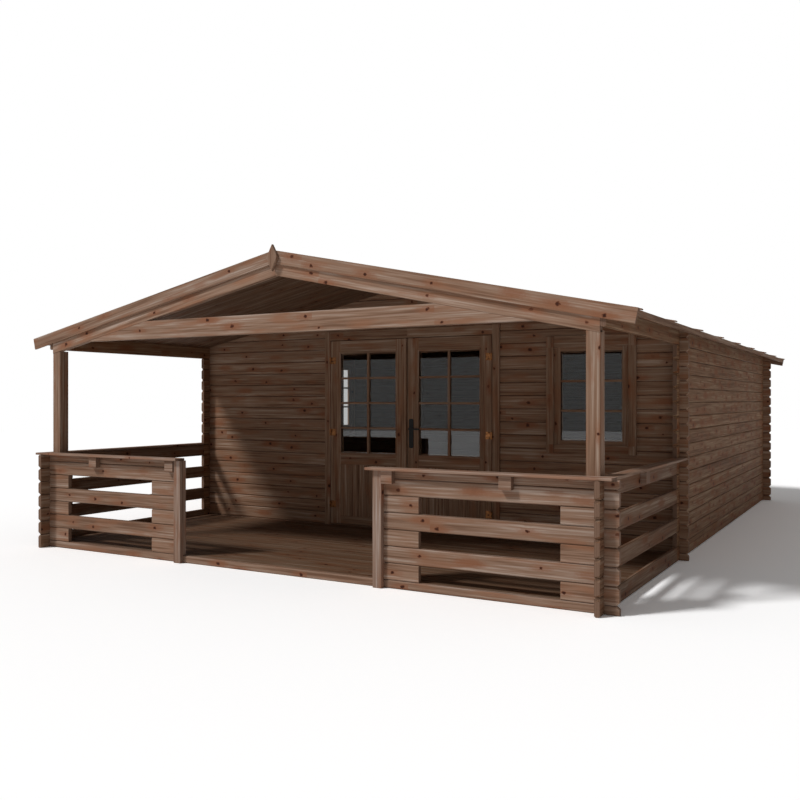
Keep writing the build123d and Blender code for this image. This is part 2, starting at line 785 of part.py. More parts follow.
def window_frame(plane):
    """Fixed window: lining in the logs, casings on both faces and a glazed sash."""
    casing_half = clear_width / 2 + window_casing
    low = window_casing_bottom - window_z
    high = window_casing_top - window_z
    with BuildPart() as frame:
        with BuildSketch(plane):
            Rectangle(clear_width + 2 * window_lining, clear_height + 2 * window_lining)
            Rectangle(clear_width, clear_height, mode=Mode.SUBTRACT)
        extrude(amount=-log_thickness)
        # Head and sill boards between two thicker side boards
        extrude(
            portal(plane, clear_width / 2, low, high, clear_width, -clear_height / 2, clear_height / 2),
            amount=window_head_casing,
        )
        with BuildSketch(plane):
            with Locations(*[(s * (clear_width + window_casing) / 2, (low + high) / 2) for s in (-1, 1)]):
                Rectangle(window_casing, high - low)
        extrude(amount=window_side_casing)
        extrude(
            portal(plane.offset(-log_thickness), casing_half, low, high,
                   clear_width / 2, -clear_height / 2, clear_height / 2),
            amount=-casing_thickness,
        )
        # Sash, rebated from inside for its glass
        with BuildSketch(plane.offset(-sash_setback)):
            Rectangle(clear_width, clear_height)
            Rectangle(window_glass_width, window_glass_height, mode=Mode.SUBTRACT)
        extrude(amount=-sash_depth)
        with BuildSketch(plane.offset(-sash_setback - sash_depth)):
            Rectangle(window_glass_width + 2 * glass_rebate, window_glass_height + 2 * glass_rebate)
        extrude(amount=sash_depth - glass_setback, mode=Mode.SUBTRACT)
    return frame


for name, plane in (("front_window", front_window_plane), ("side_window", side_window_plane)):
    with BuildPart() as fixed_window:
        add(window_frame(plane).part)
    hand_over(fixed_window, f"{name}_frame")

    with BuildPart() as window_pane:
        with BuildSketch(plane.offset(-sash_setback - glass_setback)):
            Rectangle(window_glass_width + 2 * glass_rebate, window_glass_height + 2 * glass_rebate)
        extrude(amount=-glass_thickness)
    hand_over(window_pane, f"{name}_glass")
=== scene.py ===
import math

import bmesh
import bpy
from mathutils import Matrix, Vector


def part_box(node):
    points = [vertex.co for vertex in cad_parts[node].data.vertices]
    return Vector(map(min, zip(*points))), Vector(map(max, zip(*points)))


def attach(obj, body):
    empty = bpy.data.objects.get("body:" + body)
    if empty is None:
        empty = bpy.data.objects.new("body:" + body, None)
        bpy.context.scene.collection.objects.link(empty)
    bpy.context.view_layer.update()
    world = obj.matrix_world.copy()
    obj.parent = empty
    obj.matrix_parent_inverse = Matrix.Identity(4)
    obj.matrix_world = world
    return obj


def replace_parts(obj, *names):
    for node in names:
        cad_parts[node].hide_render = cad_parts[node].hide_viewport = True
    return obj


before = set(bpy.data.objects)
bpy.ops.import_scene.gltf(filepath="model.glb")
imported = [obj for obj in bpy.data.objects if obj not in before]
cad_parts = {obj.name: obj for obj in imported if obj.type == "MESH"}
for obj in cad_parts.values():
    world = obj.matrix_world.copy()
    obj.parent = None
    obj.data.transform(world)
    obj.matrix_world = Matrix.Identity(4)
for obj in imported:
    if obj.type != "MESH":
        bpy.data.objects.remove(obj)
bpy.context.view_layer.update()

# Floor bearers: square softwood timbers laid on the ground, with their edges taken off.
# They carry the floors and hardly show, and are stained like every other piece of the cabin.
bearer_ease = 0.004


def stain(red, green, blue):
    """Linear colour of a stain that is read in 8-bit screen values."""
    screen = [value / 255 for value in (red, green, blue)]
    return [v / 12.92 if v <= 0.04045 else ((v + 0.055) / 1.055) ** 2.4 for v in screen] + [1]


class Signal:
    """One output of a shader tree. Operators between signals and numbers add Math nodes."""

    def __init__(self, tree, socket):
        self.tree = tree
        self.socket = socket

    def node(self, kind, settings, sockets, output=0):
        """Adds any other node: its type, its settings, then the values or links of its sockets."""
        made = self.tree.nodes.new("ShaderNode" + kind)
        for setting, value in settings.items():
            setattr(made, setting, value)
        for place, value in sockets.items():
            if isinstance(value, Signal):
                self.tree.links.new(value.socket, made.inputs[place])
            else:
                made.inputs[place].default_value = value
        return Signal(self.tree, made.outputs[output])

    def math(self, operation, first, second=0.0):
        return self.node("Math", {"operation": operation}, {0: first, 1: second})

    def __add__(self, other):
        return self.math("ADD", self, other)

    def __radd__(self, other):
        return self.math("ADD", other, self)

    def __sub__(self, other):
        return self.math("SUBTRACT", self, other)

    def __rsub__(self, other):
        return self.math("SUBTRACT", other, self)

    def __mul__(self, other):
        return self.math("MULTIPLY", self, other)

    def __rmul__(self, other):
        return self.math("MULTIPLY", other, self)

    def __truediv__(self, other):
        return self.math("DIVIDE", self, other)

    def __pow__(self, other):
        return self.math("POWER", self, other)

    def __abs__(self):
        return self.math("ABSOLUTE", self)

    def __gt__(self, other):
        return self.math("GREATER_THAN", self, other)

    def floor(self):
        return self.math("FLOOR", self)

    def fade(self, none, full):
        """0 where the signal is at none, 1 where it is at full, eased between them."""
        sockets = {"Value": self, "From Min": none, "From Max": full}
        return self.node("MapRange", {"interpolation_type": "SMOOTHSTEP"}, sockets)

    def split(self):
        """The three numbers of a vector or a colour."""
        return [self.node("SeparateXYZ", {}, {0: self}, i) for i in range(3)]

    def noise(self, x, y, z, detail=2.0):
        """Noise at a place whose three coordinates are already scaled."""
        at = self.node("CombineXYZ", {}, {0: x, 1: y, 2: z})
        return self.node("TexNoise", {}, {"Vector": at, "Scale": 1.0, "Detail": detail})

    def blend(self, under, over):
        """Colour that goes from under to over as the signal goes from 0 to 1."""
        return self.node("Mix", {"data_type": "RGBA"}, {0: self, 6: under, 7: over}, 2)

    def shade(self, colour):
        """Colour darkened or lightened by a signal that is 1 where nothing changes."""
        grey = self.node("CombineColor", {}, {0: self, 1: self, 2: self})
        settings = {"data_type": "RGBA", "blend_type": "MULTIPLY"}
        return self.node("Mix", settings, {0: 1.0, 6: colour, 7: grey}, 2)


def new_material(name):
    """Material with its shader, and signals for a place on the piece and the way the surface faces."""
    material = bpy.data.materials.new(name)
    material.use_nodes = True
    tree = material.node_tree
    coordinates = tree.nodes.new("ShaderNodeTexCoord")
    place = Signal(tree, coordinates.outputs["Object"])
    facing = Signal(tree, coordinates.outputs["Normal"])
    return material, tree.nodes["Principled BSDF"], place, facing


def connect(shader, **signals):
    """Links signals to the shader's sockets, such as base_color to Base Color."""
    for socket, signal in signals.items():
        signal.tree.links.new(signal.socket, shader.inputs[socket.replace("_", " ").title()])


def stained_pine(name, grain, seed=0, joint=None, knot_gap=0.5, knot_spread=0.06, tone=1.0, stain_and_shade_warmth=0.0,
                 painted_shade_room=None):
    """Brown-stained pine. grain turns a place and the way the surface faces into the distances along, across
    and through the wood, the number of the log or board there, and how squarely the surface cuts the grain.
    joint is half the height of a row of logs, knot_gap and knot_spread are the distance between knots and how
    far they stray from the middle, tone is how light the stain is, the next argument is how brown it is, set
    browner on pieces in shade and paler on sunlit ones as painted shade and painted light, and the last is
    the floor of a room whose walls are darkened inside as painted shade."""

    # Warmth takes blue, and some green, out of the stain. It is set higher on pieces that stand in shade and
    # lower on sunlit ones, so it is partly painted shade and painted light.
    def coat(*screen):
        red, green, blue, solid = stain(*screen)
        return [red * tone, green * tone * (1 - 0.4 * stain_and_shade_warmth), blue * tone * (1 - stain_and_shade_warmth), solid]

    dark, middle, light = coat(116, 85, 66), coat(148, 118, 98), coat(178, 156, 141)
    red, halo = coat(146, 102, 76), coat(136, 88, 62)
    bark, knot = coat(102, 59, 40), coat(56, 29, 19)
    end_dark, end_light, gap = stain(110, 84, 68), stain(127, 100, 83), coat(30, 19, 13)
    ring_width = 0.010
    knot_radius = 0.008
    bevel_depth = 0.016
    painted_room_shade = 0.65

    material, shader, place, facing = new_material(name)
    along, across, through, piece, cut = grain(place.split(), [abs(part) for part in facing.split()])
    piece = piece + seed
    chance = place.node("TexWhiteNoise", {"noise_dimensions": "1D"}, {"W": piece}, "Value")
    run = along + chance * 37.0

    # Knots: one to each stretch of a piece, with its own height and size
    cells = {"W": run / knot_gap, "Scale": 1.0, "Randomness": 0.95}
    settings = {"voronoi_dimensions": "1D"}
    away = place.node("TexVoronoi", settings, cells, "Distance") * knot_gap
    height_lot, size_lot, kind_lot = place.node("TexVoronoi", settings, cells, "Color").split()
    up = across - (height_lot - 0.5) * knot_spread
    jag = (place.noise(run * 55.0, across * 75.0, piece * 3.7, 3.0) - 0.5) * 0.022
    size = size_lot * knot_radius + knot_radius
    reach = (away * away * 0.6 + up * up) ** 0.5 + jag
    rim = reach.fade(size * 4.5, size)
    edge = reach.fade(size * 1.15, size * 0.75) * kind_lot.fade(0.05, 0.3)
    core = reach.fade(size * 0.9, size * 0.3) * kind_lot.fade(0.15, 0.4)
    flare = (away * away * 0.08 + up * up) ** 0.5 + jag

    # Streaks, growth rings and fibres, which part round the knots
    bowed = across + rim * up * 0.2
    streak = place.noise(run * 0.5, bowed * 21.0, through * 21.0 + piece * 5.3, 4.0)
    strand = place.noise(run * 2.0, bowed * 80.0, through * 80.0 + piece * 3.1, 3.0)
    blush = place.noise(run * 2.8, bowed * 15.0, piece * 9.1 + 40.0, 4.0)
    fibre = place.noise(run * 6.0, bowed * 210.0, through * 210.0, 2.0)
    wander = place.noise(run * 0.9, piece * 7.7, 3.0) - 0.5
    pith = bowed - (chance - 0.5) * 0.12 + wander * 0.07
    depth = through + 0.045
    radius = (pith * pith + depth * depth) ** 0.5
    ring = place.math("SINE", radius * (2 * math.pi / ring_width)) * 0.5 + 0.5

    tint = streak * 0.45 + strand * 0.55
    colour = tint.fade(0.36, 0.51).blend(dark, middle)
    colour = tint.fade(0.5, 0.66).blend(colour, light)
    colour = (blush.fade(0.48, 0.68) * 0.7).blend(colour, red)
    colour = (chance * 0.12 + 0.94).shade(colour)
    colour = (1.0 - ring * 0.06 - fibre.fade(0.45, 0.75) * 0.12).shade(colour)
    colour = (flare.fade(size * 3.0, size * 0.8) * (size_lot * 0.5 + 0.35)).blend(colour, halo)
    colour = core.blend(edge.blend(colour, bark), knot)

    # Sawn ends show the rings, and the joint between two rows is a dark line
    colour = cut.fade(0.75, 0.95).blend(colour, ring.blend(end_light, end_dark))
    if joint:
        upright_face = abs(facing.split()[2]).fade(0.9, 0.7)
        seam = (joint - abs(across)).fade(0.0022, 0.0006) * upright_face * (1 - cut)
        colour = seam.blend(colour, gap)
    # Faces towards the room are darkened: painted shade for a room that no light reaches.
    if painted_shade_room:
        low, high = painted_shade_room
        x, y, z = place.split()
        between = (y > low.y - bevel_depth) * (1 - (y > high.y + bevel_depth))
        room_shade_mask = (1 - (abs(x) > high.x + bevel_depth)) * between
        colour = (1 - room_shade_mask * painted_room_shade).shade(colour)

    relief = fibre * 0.5 + ring * 0.3 - core * 0.4
    bump = place.node("Bump", {}, {"Strength": 0.35, "Distance": 0.0012, "Height": relief})
    shader.inputs["Specular IOR Level"].default_value = 0.12
    connect(shader, base_color=colour, roughness=fibre * 0.2 - core * 0.12 + 0.6, normal=bump)
    return material


def finish(material, *nodes):
    """Gives CAD nodes that stay in view their material."""
    for node in nodes:
        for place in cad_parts[node].material_slots:
            place.material = material


def add_piece(name, shape, material, body):
    """Turns a closed shape into a finished piece that rides on a body."""
    bmesh.ops.recalc_face_normals(shape, faces=shape.faces)
    mesh = bpy.data.meshes.new(name)
    shape.to_mesh(mesh)
    shape.free()
    mesh.materials.append(material)
    piece = bpy.data.objects.new(name, mesh)
    bpy.context.scene.collection.objects.link(piece)
    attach(piece, body)
    return piece


def ease_edges(shape, ease):
    """Takes the sharp edges off a sawn board."""
    sharp = [edge for edge in shape.edges if edge.calc_face_angle(0) > math.radians(20)]
    bmesh.ops.bevel(shape, geom=sharp, offset=ease, segments=2, profile=0.5, affect="EDGES")


def merged(node):
    """Copy of a CAD node's shape with its triangles joined."""
    shape = bmesh.new()
    shape.from_mesh(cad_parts[node].data)
    bmesh.ops.remove_doubles(shape, verts=shape.verts, dist=1e-5)
    return shape


def eased(node, ease, material, body="cabin"):
    """Copy of a sawn CAD node with its edges eased, in place of the sharp one."""
    shape = merged(node)
    limits = {"angle_face_threshold": math.radians(1), "angle_shape_threshold": math.pi}
    bmesh.ops.join_triangles(shape, faces=shape.faces, **limits)
    ease_edges(shape, ease)
    piece = add_piece(node + "_eased", shape, material, body)
    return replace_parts(piece, node)


def beam_along_y(place, facing):
    x, y, z = place
    return y, z, x, (x * 2.0).floor(), facing[1]


eased("floor_bearers", bearer_ease, stained_pine("bearer_pine", beam_along_y, seed=3))

# Walls and balustrades: bevelled pine logs laid on each other, so that a fine dark joint shows in a V.
# Front and rear logs start half a log lower than the side logs, and all are notched where they cross.
# The faces inside are darkened as painted shade, and the front ends of the side logs are sawn square on their
# inner half.
log_height = 0.115
front_bevel = 0.021


def logs_along_x(place, facing):
    x, y, z = place
    row = (z / log_height + 0.5).floor()
    return x, z - row * log_height, y, row + (y * 0.9).floor() * 40.0, facing[0]


def logs_along_y(place, facing):
    x, y, z = place
    row = (z / log_height).floor()
    return y, z - (row + 0.5) * log_height, x, row + (x * 0.9).floor() * 40.0, facing[1]


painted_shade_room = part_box("cabin_floor")
half_log = log_height / 2
# The wall and side logs in shade are browner than the sunlit front rails of the same logs: painted shade.
front_rail_pine = stained_pine(
    "front_rail_pine", logs_along_x, seed=5, joint=half_log, knot_gap=0.42, tone=0.96
)
cross_wall_pine = stained_pine(
    "cross_wall_pine", logs_along_x, seed=13, joint=half_log, knot_gap=0.55, tone=1.08, stain_and_shade_warmth=0.12, painted_shade_room=painted_shade_room
)
side_rail_pine = stained_pine(
    "side_rail_pine", logs_along_y, seed=23, joint=half_log, knot_gap=0.42, tone=0.68, stain_and_shade_warmth=0.15
)
side_wall_pine = stained_pine(
    "side_wall_pine", logs_along_y, seed=29, joint=half_log, knot_gap=0.3, tone=0.83, stain_and_shade_warmth=0.33, painted_shade_room=painted_shade_room
)
finish(front_rail_pine, "front_sill_log", "left_front_balustrade", "right_front_balustrade")
finish(cross_wall_pine, "front_wall_sill", "rear_wall", "front_wall_left", "front_wall_right", "front_gable")
finish(side_wall_pine, "eave_logs")


def middle_of(node):
    """Middle of a CAD node's box."""
    low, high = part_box(node)
    return (low + high) / 2


def square_fronts(node, material):
    """Copy of side logs with front ends that are square on the inner half and bevelled at the outer edge."""
    shape = merged(node)
    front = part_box(node)[0].y
    inner = abs(middle_of(node).x)
    for corner in shape.verts:
        if corner.co.y < front + front_bevel and abs(corner.co.x) < inner:
            corner.co.y = front
    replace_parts(add_piece(node + "_squared", shape, material, "cabin"), node)


for side in ("left", "right"):
    square_fronts(side + "_side_rails", side_rail_pine)
    square_fronts(side + "_wall", side_wall_pine)

# Floors: planed softwood boards with eased edges, laid across the cabin on the bearers and nailed down.
# The boards lie close together, each a hair higher or lower than the next.
floor_board = 0.09
floor_gap = 0.0025
floor_ease = 0.003
floor_play = 0.0005
floor_drop = 0.0006


def board(low, high, ease):
    """Closed board between two corners with its edges eased."""
    shape = bmesh.new()
    bmesh.ops.create_cube(shape, size=1)
    low, high = Vector(low), Vector(high)
    for corner in shape.verts:
        middle = (low + high) / 2
        corner.co = middle + Vector(a * b for a, b in zip(corner.co, high - low))
    ease_edges(shape, ease)
    return shape


def row_tree():
    """Geometry Nodes that repeat one board at even steps, each shifted a little by its own chance."""
    tree = bpy.data.node_groups.new("row of boards", "GeometryNodeTree")
    sockets = {"Geometry": "Geometry", "Count": "Int", "Step": "Vector", "Play": "Vector",
               "Finish": "Material"}
    for name, kind in sockets.items():
        tree.interface.new_socket(name, in_out="INPUT", socket_type="NodeSocket" + kind)
    tree.interface.new_socket("Geometry", in_out="OUTPUT", socket_type="NodeSocketGeometry")
    given = tree.nodes.new("NodeGroupInput")
    line = tree.nodes.new("GeometryNodeMeshLine")
    opposite = tree.nodes.new("ShaderNodeVectorMath")
    opposite.operation = "SCALE"
    opposite.inputs["Scale"].default_value = -1
    lot = tree.nodes.new("FunctionNodeRandomValue")
    lot.data_type = "FLOAT_VECTOR"
    lot.inputs["Seed"].default_value = 7
    shift = tree.nodes.new("GeometryNodeSetPosition")
    copies = tree.nodes.new("GeometryNodeInstanceOnPoints")
    real = tree.nodes.new("GeometryNodeRealizeInstances")
    coat = tree.nodes.new("GeometryNodeSetMaterial")
    done = tree.nodes.new("NodeGroupOutput")
    for start, end in (
        (given.outputs["Count"], line.inputs["Count"]),
        (given.outputs["Step"], line.inputs["Offset"]),
        (given.outputs["Play"], opposite.inputs[0]),
        (opposite.outputs[0], lot.inputs[0]),
        (given.outputs["Play"], lot.inputs[1]),
        (line.outputs["Mesh"], shift.inputs["Geometry"]),
        (lot.outputs[0], shift.inputs["Offset"]),
        (shift.outputs["Geometry"], copies.inputs["Points"]),
        (given.outputs["Geometry"], copies.inputs["Instance"]),
        (copies.outputs["Instances"], real.inputs["Geometry"]),
        (real.outputs["Geometry"], coat.inputs["Geometry"]),
        (given.outputs["Finish"], coat.inputs["Material"]),
        (coat.outputs["Geometry"], done.inputs["Geometry"]),
    ):
        tree.links.new(start, end)
    return tree


def grow(name, shape, tree, values, body):
    """Runs a Geometry Nodes tree on a shape, and keeps its result as a plain mesh that rides on a body."""
    bmesh.ops.recalc_face_normals(shape, faces=shape.faces)
    mesh = bpy.data.meshes.new(name)
    shape.to_mesh(mesh)
    shape.free()
    piece = bpy.data.objects.new(name, mesh)
    bpy.context.scene.collection.objects.link(piece)
    modifier = piece.modifiers.new(name, "NODES")
    modifier.node_group = tree
    for socket in tree.interface.items_tree:
        if socket.name in values and socket.in_out == "INPUT":
            modifier[socket.identifier] = values[socket.name]
    solved = piece.evaluated_get(bpy.context.evaluated_depsgraph_get())
    piece.data = bpy.data.meshes.new_from_object(solved)
    piece.modifiers.remove(modifier)
    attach(piece, body)
    return piece


row_of_boards = row_tree()


def floor_grain(place, facing):
    x, y, z = place
    number = (y / floor_board).floor()
    return x, y - (number + 0.5) * floor_board, z, number, facing[0]


# The floor boards, which lie in shade, are browner: painted shade.
floor_pine = stained_pine(
    "floor_pine", floor_grain, seed=31, knot_gap=0.9, knot_spread=0.05, tone=0.5, stain_and_shade_warmth=0.2
)
for node in ("veranda_floor", "cabin_floor"):
    low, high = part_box(node)
    count = round((high.y - low.y) / floor_board)
    step = (high.y - low.y) / count
    first = board(low, (high.x, low.y + step - floor_gap, high.z - floor_drop), floor_ease)
    values = {"Count": count, "Step": (0, step, 0), "Play": (0, 0, floor_play), "Finish": floor_pine}
    boards = grow(node + "_planks", first, row_of_boards, values, "cabin")
    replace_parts(boards, node)

# Veranda posts: planed square timbers which stand on the floor in the corners of the balustrade.
# They carry the front truss, which is two rafters and a tie beam in one plane.
truss_ease = 0.004
slope = 0.21
slope_turn = math.atan(slope)
rafter_height = 2.249


def upright(out, back=0.0):
    """Grain of posts that stand at a distance out from the middle of the cabin and at one depth."""

    def grain(place, facing):
        x, y, z = place
        return z, abs(x) - out + y - back, y, (x * 0.9).floor() + (y * 2.1).floor() * 7.0, facing[2]

    return grain


def along_x(height):
    """Grain of a level beam whose middle is at a height."""

    def grain(place, facing):
        x, y, z = place
        return x, z - height, y, (y * 2.0).floor(), facing[0]

    return grain


def down_slope(height):
    """Grain of timbers that lie along the slope of the roof. height is that of their middle at the ridge."""

    def grain(place, facing):
        x, y, z = place
        out = abs(x)
        along = out * math.cos(slope_turn) - z * math.sin(slope_turn)
        across = out * math.sin(slope_turn) + (z - height) * math.cos(slope_turn)
        return along, across, y, (x > 0) * 5.0 + (y * 0.5).floor(), facing[0]

    return grain


def join(shapes):
    """One shape out of several closed ones."""
    whole = bmesh.new()
    for shape in shapes:
        part = bpy.data.meshes.new("part")
        shape.to_mesh(part)
        shape.free()
        whole.from_mesh(part)
        bpy.data.meshes.remove(part)
    return whole


low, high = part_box("veranda_posts")
post_size = high.y - low.y
post_grain = upright(high.x - post_size / 2, middle_of("veranda_posts").y)
# The posts, partly in shade, are a little browner: painted shade.
post_pine = stained_pine(
    "post_pine", post_grain, seed=44, knot_gap=0.45, knot_spread=0.05, tone=0.98, stain_and_shade_warmth=0.06
)
posts = []
for left in (low.x, high.x - post_size):
    posts.append(board((left, low.y, low.z), (left + post_size, high.y, high.z), truss_ease))
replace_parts(add_piece("square_posts", join(posts), post_pine, "cabin"), "veranda_posts")
tie_grain = along_x(middle_of("tie_beam").z)
tie_beam_pine = stained_pine("tie_beam_pine", tie_grain, seed=47, knot_spread=0.11, tone=1.05)
eased("tie_beam", truss_ease, tie_beam_pine)
rafter_pine = stained_pine("rafter_pine", down_slope(rafter_height), seed=53, knot_gap=0.55, tone=1.15)
for node in ("left_rafter", "right_rafter"):
    eased(node, truss_ease, rafter_pine)
eased("ridge_beam", truss_ease, stained_pine("ridge_beam_pine", beam_along_y, seed=59))

# Roof: planed boards that run from the ridge down to the eaves, side by side from the front barge boards
# to the rear ones. Thin laths lie on them, and eave boards cover their ends.
roof_board = 0.09
roof_gap = 0.002
roof_ease = 0.0035
roof_play = 0.0004
eave_ease = 0.002
lath_height, lath_ease = 2.38, 0.0015
barge_height, barge_ease = 2.342, 0.0025
finial_depth, finial_ease, finial_spread = -3.65, 0.002, 1.3


def roof_grain(place, facing):
    x, y, z = place
    number = (y / roof_board).floor()
    return x, y - (number + 0.5) * roof_board, z + abs(x) * slope, number + (x > 0) * 200.0, facing[0]


# The roof boards, seen from below in shade, are browner: painted shade.
roof_pine = stained_pine(
    "roof_pine", roof_grain, seed=61, knot_gap=0.8, knot_spread=0.05, tone=0.53, stain_and_shade_warmth=0.2
)
for node in ("left_roof_boards", "right_roof_boards"):
    low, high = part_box(node)
    rise = slope * (high.x - low.x)
    count = round((high.y - low.y) / roof_board)
    step = (high.y - low.y) / count
    first = board((low.x, low.y, low.z + rise), (high.x, low.y + step - roof_gap, high.z), roof_ease)
    for corner in first.verts:
        corner.co.z -= slope * abs(corner.co.x)
    values = {"Count": count, "Step": (0, step, 0), "Play": (0, 0, roof_play), "Finish": roof_pine}
    boards = grow(node + "_planks", first, row_of_boards, values, "cabin")
    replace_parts(boards, node)

# Eave boards and laths in shade are browner: painted shade.
eave_board_pine = stained_pine("eave_board_pine", beam_along_y, seed=67, tone=0.82, stain_and_shade_warmth=0.1)
eased("eave_boards", eave_ease, eave_board_pine)
lath_pine = stained_pine("lath_pine", down_slope(lath_height), seed=71, tone=0.82, stain_and_shade_warmth=0.1)
eased("roof_laths", lath_ease, lath_pine)
barge_pine = stained_pine(
    "barge_pine", down_slope(barge_height), seed=73, knot_gap=0.45, knot_spread=0.07, tone=1.05
)
for end in ("front", "rear"):
    for side in ("left", "right"):
        eased(f"{end}_{side}_barge_board", barge_ease, barge_pine)
finial_pine = stained_pine("finial_pine", upright(0.0, finial_depth), seed=79)
finial = eased("gable_finial", finial_ease, finial_pine)
for corner in finial.data.vertices:
    corner.co.x *= finial_spread

# Caps of the balustrade: boards laid flat on the top logs and over the corner blocks, on blocks that stand
# proud of the logs. An upright post closes each half of the front balustrade at the entrance.
cap_ease = 0.003
front_cap_reach = 3.67
side_cap_reach = 2.45
end_post_reach = 0.92


def flat_along_x(place, facing):
    x, y, z = place
    return x, y + front_cap_reach, z, (x > 0) * 3.0, facing[0]


def flat_along_y(place, facing):
    x, y, z = place
    return y, abs(x) - side_cap_reach, z, (x > 0) * 3.0, facing[1]


# Caps, brackets and end posts in the sun are paler and less brown: painted light.
front_cap_pine = stained_pine(
    "front_cap_pine", flat_along_x, seed=83, knot_spread=0.12, tone=1.08, stain_and_shade_warmth=-0.12
)
eased("front_caps", cap_ease, front_cap_pine)
side_cap_pine = stained_pine("side_cap_pine", flat_along_y, seed=89, knot_spread=0.12, stain_and_shade_warmth=-0.05)
eased("side_caps", cap_ease, side_cap_pine)
bracket_grain = along_x(middle_of("cap_brackets").z)
bracket_pine = stained_pine(
    "bracket_pine", bracket_grain, seed=103, knot_spread=0.08, tone=1.08, stain_and_shade_warmth=-0.1
)
eased("cap_brackets", cap_ease, bracket_pine)
end_post_grain = upright(end_post_reach, middle_of("balustrade_end_posts").y)
end_post_pine = stained_pine(
    "end_post_pine", end_post_grain, seed=97, knot_spread=0.05, tone=1.05, stain_and_shade_warmth=-0.15
)
eased("balustrade_end_posts", cap_ease, end_post_pine)

# Door frame: upright jambs and casings with a head and a threshold between them, screwed into the opening
# of the front wall. The casings lie on the logs, flush with the leaves.
joinery_ease = 0.002
jamb_face = 0.868
jamb_middle = 0.9
head_height = 1.9


def door_frame_grain(place, facing):
    x, y, z = place
    stands = abs(x) > jamb_face
    along = stands * z + (1 - stands) * x
    across = stands * (abs(x) - jamb_middle) + (1 - stands) * (z - head_height)
    cut = stands * facing[2] + (1 - stands) * facing[0]
    return along, across, y, stands * 3.0 + (x > 0), cut


# The door frame in the shade of the veranda is browner: painted shade.
door_frame_pine = stained_pine("door_frame_pine", door_frame_grain, seed=101, tone=1.02, stain_and_shade_warmth=0.14)
eased("door_frame", joinery_ease, door_frame_pine)

# Door leaves: stiles and rails of planed pine, glazed above a panel of upright boards. A cover strip on the
# left leaf closes the gap between the two.
glass_depth = 0.018
leaf_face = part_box("left_door_glass")[0].y - glass_depth
leaf_thickness = 0.040
leaf_middle = 0.4345
stile_middle = 0.37
lock_rail_height = 0.71
pane_half = 0.3105
pane_low, pane_high = 0.770, 1.737
panel_low, panel_high = 0.150, 0.655
panel_recess = 0.010
panel_face = 0.0025
panel_fit = 0.0002
panel_gap = 0.001
panel_ease = 0.003
panel_boards = 6
panel_board = 2 * pane_half / panel_boards


def leaf_grain(place, facing):
    x, y, z = place
    stands = abs(abs(x) - leaf_middle) > pane_half
    along = stands * z + (1 - stands) * x
    aside = abs(abs(x) - leaf_middle) - stile_middle
    across = stands * aside + (1 - stands) * (z - lock_rail_height)
    cut = stands * facing[2] + (1 - stands) * facing[0]
    stile = stands * (abs(x) > leaf_middle)
    rail = (1 - stands) * ((z * 1.7).floor() + 7.0)
    return along, across, y, stile * 2.0 + rail + (x > 0) * 17.0, cut


def panel_grain(place, facing):
    x, y, z = place
    number = ((x - leaf_middle + pane_half) / panel_board).floor()
    return z, x - leaf_middle - (number + 0.5) * panel_board, y, number, facing[2]


# Leaves and panels in shade are browner: painted shade.
leaf_pine = stained_pine("leaf_pine", leaf_grain, seed=113, tone=1.06, stain_and_shade_warmth=0.14)
panel_pine = stained_pine(
    "panel_pine", panel_grain, seed=127, knot_gap=0.4, knot_spread=0.05, tone=1.06, stain_and_shade_warmth=0.12
)
leaf_back = leaf_face + leaf_thickness
for side, name in ((-1, "left"), (1, "right")):
    body = name + "_door"
    eased(body + "_leaf", joinery_ease, leaf_pine, body)
    for face, near, far in (
        ("outer", leaf_face + panel_face, leaf_face + panel_recess + panel_fit),
        ("inner", leaf_back - panel_recess - panel_fit, leaf_back - panel_face),
    ):
        start = side * leaf_middle - pane_half
        end = start + panel_board - panel_gap
        first = board((start, near, panel_low), (end, far, panel_high), panel_ease)
        values = {"Count": panel_boards, "Step": (panel_board, 0, 0), "Finish": panel_pine}
        grow(f"{name}_{face}_panel_boards", first, row_of_boards, values, body)

# Glazing bars and beads: narrow moulded bars that divide each sheet of glass into panes, on both faces of
# the glass, and beads that hold its edges from inside. Uprights run through, and level bars are cut between.
# A flat moulding frames the glass on the outer face of each leaf.
upright_bar = 0.024
level_bar = 0.020
bead = 0.012
bar_ease = 0.0035
outer_set_back = 0.002
inner_set_back = 0.004
level_set_back = 0.001
moulding = 0.014
moulding_rise = 0.004
moulding_fit = 0.0005
moulding_ease = 0.0015


def level_x(place, facing):
    x, y, z = place
    return x, z, y, (z * 4.0).floor(), facing[0]


def level_y(place, facing):
    x, y, z = place
    return y, z, x, (z * 4.0).floor(), facing[1]


# Bars in shade are browner: painted shade.
bar_stain = {"knot_gap": 0.6, "knot_spread": 0.02, "tone": 1.1, "stain_and_shade_warmth": 0.1}
upright_bar_pine = stained_pine("upright_bar_pine", upright(0.0), seed=131, **bar_stain)
level_bar_pine = stained_pine("level_bar_pine", level_x, seed=137, **bar_stain)
side_bar_pine = stained_pine("side_bar_pine", level_y, seed=139, **bar_stain)


